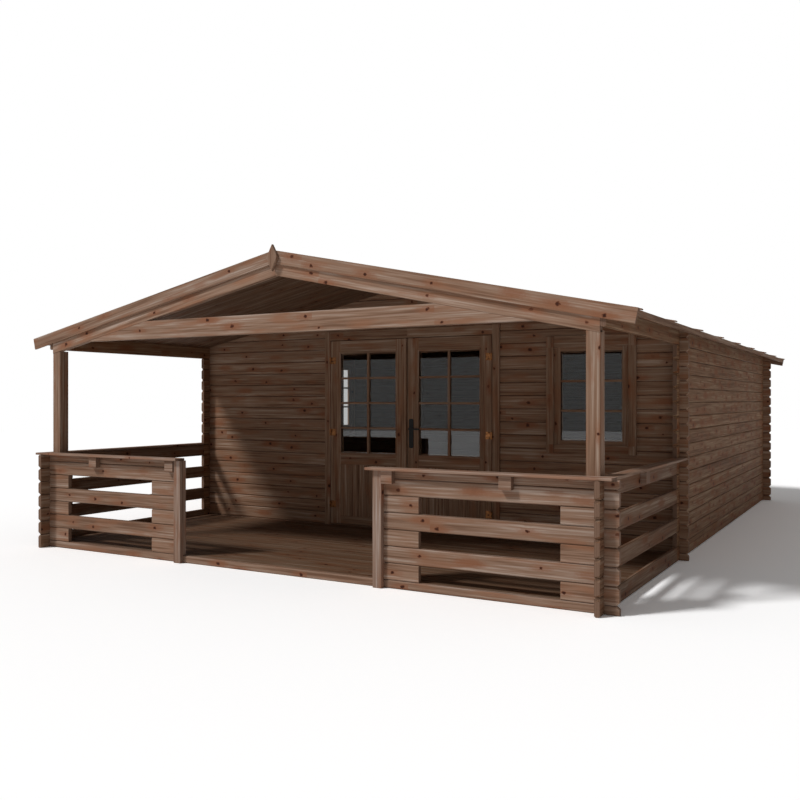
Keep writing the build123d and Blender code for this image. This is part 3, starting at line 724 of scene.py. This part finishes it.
def glazing(name, body, pane, middle, half, low, high, columns, rows, depths, turned=False):
    """Bars and beads of one sheet of glass. depths are the outer and inner faces of the bars, and turned
    puts them in a side wall, where they run along Y."""

    def strip(left, right, bottom, top, near, far):
        first, last = (left, near, bottom), (right, far, top)
        if turned:
            first, last = (near, left, bottom), (far, right, top)
        return board(first, last, bar_ease)

    glass_low, glass_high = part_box(pane)
    thin = 0 if turned else 1
    uprights, levels = [], []
    left, right = middle - half, middle + half
    centres = [left + (i + 1) * 2 * half / columns for i in range(columns - 1)]
    heights = [low + (i + 1) * (high - low) / rows for i in range(rows - 1)]
    for near, far, edge in ((depths[0], glass_low[thin], 0), (glass_high[thin], depths[1], bead)):
        stops = [left + edge / 2] + centres + [right - edge / 2]
        widths = [edge] + [upright_bar] * len(centres) + [edge]
        for centre, width in zip(stops, widths):
            if width:
                uprights.append(strip(centre - width / 2, centre + width / 2, low, high, near, far))
        steps = [(height, level_bar) for height in heights]
        if edge:
            steps += [(low + edge / 2, edge), (high - edge / 2, edge)]
        for i in range(columns):
            start, end = stops[i] + widths[i] / 2, stops[i + 1] - widths[i + 1] / 2
            for height, size in steps:
                bottom, top = height - size / 2, height + size / 2
                levels.append(strip(start, end, bottom, top, near + level_set_back, far))
    add_piece(name + "_upright_bars", join(uprights), upright_bar_pine, body)
    pine = side_bar_pine if turned else level_bar_pine
    add_piece(name + "_level_bars", join(levels), pine, body)


for side, name in ((-1, "left"), (1, "right")):
    depths = (leaf_face + outer_set_back, leaf_back - inner_set_back)
    middle = side * leaf_middle
    body = name + "_door"
    glazing(body, body, body + "_glass", middle, pane_half, pane_low, pane_high, 2, 4, depths)
    near, far = leaf_face - moulding_rise, leaf_face + moulding_fit
    left, right = middle - pane_half, middle + pane_half
    bottom, top = pane_low - moulding, pane_high + moulding
    stiles = []
    for start, end in ((left - moulding, left), (right, right + moulding)):
        stiles.append(board((start, near, bottom), (end, far, top), moulding_ease))
    rails = []
    for start, end in ((bottom, pane_low), (pane_high, top)):
        rails.append(board((left, near, start), (right, far, end), moulding_ease))
    add_piece(body + "_moulding_stiles", join(stiles), upright_bar_pine, body)
    add_piece(body + "_moulding_rails", join(rails), level_bar_pine, body)

# Windows: fixed sashes in a lining through the logs. Two thick side boards stand on the outer face, with a
# thinner head and sill board between them.
window_middle = 1.760
side_window_middle = 0.8885
window_height = 1.318
sash_glass_half = 0.265
sash_half = 0.322
window_half_height = 0.379
sash_half_height = 0.415
side_board_middle = 0.33
head_board_middle = 0.44
outer_bar_depth = 0.014
inner_bar_depth = 0.010


def front_window_grain(place, facing):
    x, y, z = place
    aside = abs(x - window_middle)
    above = abs(z - window_height)
    beyond = above > sash_half_height
    stands = aside > (sash_glass_half + beyond * (sash_half - sash_glass_half))
    along = stands * z + (1 - stands) * x
    across = stands * (aside - side_board_middle) + (1 - stands) * (above - head_board_middle)
    cut = stands * facing[2] + (1 - stands) * facing[0]
    piece = stands * (aside > sash_half) * 2.0 + beyond * 5.0 + (x > window_middle) * stands * 11.0
    return along, across, y, piece, cut


def side_window_grain(place, facing):
    x, y, z = place
    shifted = y - side_window_middle + window_middle
    return front_window_grain((shifted, x, z), (facing[1], facing[0], facing[2]))


for name, grain in (("front_window", front_window_grain), ("side_window", side_window_grain)):
    # Window linings in shade are browner: painted shade.
    window_pine = stained_pine(name + "_pine", grain, seed=149, stain_and_shade_warmth=0.14)
    eased(name + "_frame", joinery_ease, window_pine)
bottom, top = window_height - window_half_height, window_height + window_half_height
for name, middle in (("front_window", window_middle), ("side_window", side_window_middle)):
    turned = name == "side_window"
    thin = 0 if turned else 1
    low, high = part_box(name + "_glass")
    depths = (low[thin] - outer_bar_depth, high[thin] + inner_bar_depth)
    glazing(name, "cabin", name + "_glass", middle, sash_glass_half, bottom, top, 2, 3, depths, turned)

# Glass: one sheet of plain float glass to each leaf and window, held between its bars and beads.
# It is clear, with a little dust that dulls it.
clear_glass, shader, place, facing = new_material("window_glass")
x, y, z = place.split()
dust = place.noise(x * 3.0, y * 3.0, z * 3.0, 4.0)
shader.inputs["Transmission Weight"].default_value = 1.0
shader.inputs["IOR"].default_value = 1.5
connect(shader, base_color=dust.fade(0.3, 0.8).blend(stain(254, 255, 255), stain(250, 252, 252)))
connect(shader, roughness=dust.fade(0.55, 0.9) * 0.03)
finish(clear_glass, "left_door_glass", "right_door_glass", "front_window_glass", "side_window_glass")

# Hinges: brass lift-off hinges, three to a leaf, tarnished where hands and rain reach them.
# Each flap is held on the face of the leaf by four screws.
hinge_half = 0.033
middle_hinge_rise = 0.001
screw_columns = (0.818, 0.842)
screw_rise = 0.02
flap_rise = 0.002
brass, shader, place, facing = new_material("hinge_brass")
x, y, z = place.split()
patina = place.noise(x * 60.0, y * 60.0, z * 60.0, 4.0)
brushing = place.noise(x * 40.0, y * 40.0, z * 900.0)
tarnish = patina.fade(0.42, 0.68)
shader.inputs["Metallic"].default_value = 0.9
connect(shader, base_color=tarnish.blend(stain(164, 110, 68), stain(100, 67, 42)))
connect(shader, roughness=tarnish * 0.25 + brushing * 0.1 + 0.28)
finish(brass, "frame_hinges", "left_door_hinges", "right_door_hinges")


def screw_tree():
    """Geometry Nodes that put a low domed screw head, turned to face outwards, on every point."""
    tree = bpy.data.node_groups.new("screw heads", "GeometryNodeTree")
    sockets = {"Geometry": "Geometry", "Radius": "Float", "Height": "Float", "Turn": "Rotation",
               "Finish": "Material"}
    for name, kind in sockets.items():
        tree.interface.new_socket(name, in_out="INPUT", socket_type="NodeSocket" + kind)
    tree.interface.new_socket("Geometry", in_out="OUTPUT", socket_type="NodeSocketGeometry")
    given = tree.nodes.new("NodeGroupInput")
    head = tree.nodes.new("GeometryNodeMeshCone")
    head.inputs["Vertices"].default_value = 12
    crown = tree.nodes.new("ShaderNodeMath")
    crown.operation = "MULTIPLY"
    crown.inputs[1].default_value = 0.6
    copies = tree.nodes.new("GeometryNodeInstanceOnPoints")
    real = tree.nodes.new("GeometryNodeRealizeInstances")
    coat = tree.nodes.new("GeometryNodeSetMaterial")
    done = tree.nodes.new("NodeGroupOutput")
    for start, end in (
        (given.outputs["Radius"], head.inputs["Radius Bottom"]),
        (given.outputs["Radius"], crown.inputs[0]),
        (crown.outputs[0], head.inputs["Radius Top"]),
        (given.outputs["Height"], head.inputs["Depth"]),
        (given.outputs["Geometry"], copies.inputs["Points"]),
        (head.outputs["Mesh"], copies.inputs["Instance"]),
        (given.outputs["Turn"], copies.inputs["Rotation"]),
        (copies.outputs["Instances"], real.inputs["Geometry"]),
        (real.outputs["Geometry"], coat.inputs["Geometry"]),
        (given.outputs["Finish"], coat.inputs["Material"]),
        (coat.outputs["Geometry"], done.inputs["Geometry"]),
    ):
        tree.links.new(start, end)
    return tree


screw_heads = screw_tree()
face_front = (math.pi / 2, 0, 0)
face_back = (-math.pi / 2, 0, 0)


def screws(name, points, material, body, radius=0.004, turn=face_front):
    """Screw heads at points on a face, one mesh."""
    shape = bmesh.new()
    for point in points:
        shape.verts.new(point)
    values = {"Radius": radius, "Height": radius * 0.5, "Turn": turn, "Finish": material}
    return grow(name, shape, screw_heads, values, body)


for side, name in ((-1, "left"), (1, "right")):
    low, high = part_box(name + "_door_hinges")
    centre_z = (low.z + high.z) / 2
    points = []
    for height in (low.z + hinge_half, centre_z + middle_hinge_rise, high.z - hinge_half):
        for across in screw_columns:
            for rise in (-screw_rise, screw_rise):
                points.append((side * across, leaf_face - flap_rise, height + rise))
    screws(name + "_hinge_screws", points, brass, name + "_door")

# Lock: a long dark iron plate with clipped corners on each face of the right leaf, with a keyhole under the
# lever drawn as a dark slot of painted shade, and two screws. Its black paint is worn thin in places.
keyhole_rise = 0.1
keyhole_ease = 0.0003
keyhole_proud = 0.0004
keyhole_sunk = 0.001
keyhole_slots = ((0.002, -0.012, 0.0), (0.004, 0.0, 0.008))
lock_screw_inset = 0.014
lock_screw_radius = 0.0045
iron, shader, place, facing = new_material("lock_iron")
x, y, z = place.split()
scale = place.noise(x * 90.0, y * 90.0, z * 90.0, 4.0)
worn = scale.fade(0.55, 0.72)
shader.inputs["Metallic"].default_value = 0.35
bump = place.node("Bump", {}, {"Strength": 0.3, "Distance": 0.0006, "Height": scale})
connect(shader, base_color=worn.blend(stain(27, 25, 23), stain(50, 46, 43)), roughness=scale * 0.3 + 0.4)
connect(shader, normal=bump)
finish(iron, "door_lock_plates", "door_lever")

low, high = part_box("door_lock_plates")
plate_x = (low.x + high.x) / 2
keyhole_z = low.z + keyhole_rise
# The keyhole is a near-black slot, painted shade for the hole through the plate.
hole_shade, shader, place, facing = new_material("keyhole_painted_shade")
x, y, z = place.split()
connect(shader, base_color=place.noise(x * 80.0, y * 80.0, z * 80.0).blend(stain(8, 7, 6), stain(18, 16, 14)))
slots, points = [], []
for face, out in ((low.y, -1), (high.y, 1)):
    near, far = sorted((face + out * keyhole_proud, face - out * keyhole_sunk))
    for half, bottom, top in keyhole_slots:
        first, last = (plate_x - half, near, keyhole_z + bottom), (plate_x + half, far, keyhole_z + top)
        slots.append(board(first, last, keyhole_ease))
    points += [(plate_x, face, low.z + lock_screw_inset), (plate_x, face, high.z - lock_screw_inset)]
add_piece("lock_keyhole_shades", join(slots), hole_shade, "right_door")
screws("lock_outer_screws", points[:2], iron, "right_door", lock_screw_radius)
screws("lock_inner_screws", points[2:], iron, "right_door", lock_screw_radius, face_back)

# Stage: a pale floor, a low sun from the left in front of the cabin, and light from all round.
# The camera stands in front of the right corner at eye height.
floor_radius = 30.0
floor_sunk = 0.0005
floor_plain = (0.95, 0.95, 0.95, 1)
floor_white = (1.37, 1.37, 1.37, 1)
light_around = (0.258, 0.256, 0.256, 1)
light_in_gloss = (0.28, 0.28, 0.275, 1)
light_through_glass = (0.55, 0.545, 0.54, 1)
backdrop_white = (1, 1, 1, 1)
sun_travel = Vector((0.9, 1.0, -1.42))
sun_strength = 2.1
sun_width = math.radians(10)

floor_shape = bmesh.new()
bmesh.ops.create_circle(floor_shape, cap_ends=True, radius=floor_radius, segments=96)
floor_mesh = bpy.data.meshes.new("ground")
floor_shape.to_mesh(floor_mesh)
floor_shape.free()
ground = bpy.data.objects.new("ground", floor_mesh)
bpy.context.scene.collection.objects.link(ground)
ground.location.z = -floor_sunk

paper = bpy.data.materials.new("pale_floor")
paper.use_nodes = True
tree = paper.node_tree
tree.nodes.clear()
rays = tree.nodes.new("ShaderNodeLightPath")
seen = Signal(tree, rays.outputs["Is Camera Ray"])
for kind in ("Is Glossy Ray", "Is Transmission Ray"):
    seen = seen.math("MAXIMUM", seen, Signal(tree, rays.outputs[kind]))
seen = seen * (1 - (Signal(tree, rays.outputs["Diffuse Depth"]) > 0.5))
plain = seen.node("BsdfDiffuse", {}, {"Color": floor_plain})
white = seen.node("BsdfDiffuse", {}, {"Color": floor_white})
both = seen.node("MixShader", {}, {0: seen, 1: plain, 2: white})
output = tree.nodes.new("ShaderNodeOutputMaterial")
tree.links.new(both.socket, output.inputs["Surface"])
ground.data.materials.append(paper)

world = bpy.data.worlds.new("studio")
bpy.context.scene.world = world
world.use_nodes = True
tree = world.node_tree
rays = tree.nodes.new("ShaderNodeLightPath")
seen = Signal(tree, rays.outputs["Is Camera Ray"])
direct = 1 - (Signal(tree, rays.outputs["Diffuse Depth"]) > 0.5)
in_gloss = direct * Signal(tree, rays.outputs["Is Glossy Ray"])
through_glass = direct * Signal(tree, rays.outputs["Is Transmission Ray"])
around = in_gloss.blend(light_around, light_in_gloss)
around = through_glass.blend(around, light_through_glass)
backdrop = seen.blend(around, backdrop_white)
tree.links.new(backdrop.socket, tree.nodes["Background"].inputs["Color"])

sun_data = bpy.data.lights.new("sun", "SUN")
sun_data.energy = sun_strength
sun_data.angle = sun_width
sun = bpy.data.objects.new("sun", sun_data)
sun.rotation_euler = sun_travel.to_track_quat("-Z", "Y").to_euler()
bpy.context.scene.collection.objects.link(sun)

camera_data = bpy.data.cameras.new("camera")
camera_data.lens = 39.44
camera = bpy.data.objects.new("camera", camera_data)
camera.location = (4.0252, -8.7989, 1.2832)
camera.rotation_euler = (math.pi / 2, 0, 0.5193)
bpy.context.scene.collection.objects.link(camera)
bpy.context.scene.camera = camera
bpy.context.scene.view_settings.view_transform = "Standard"
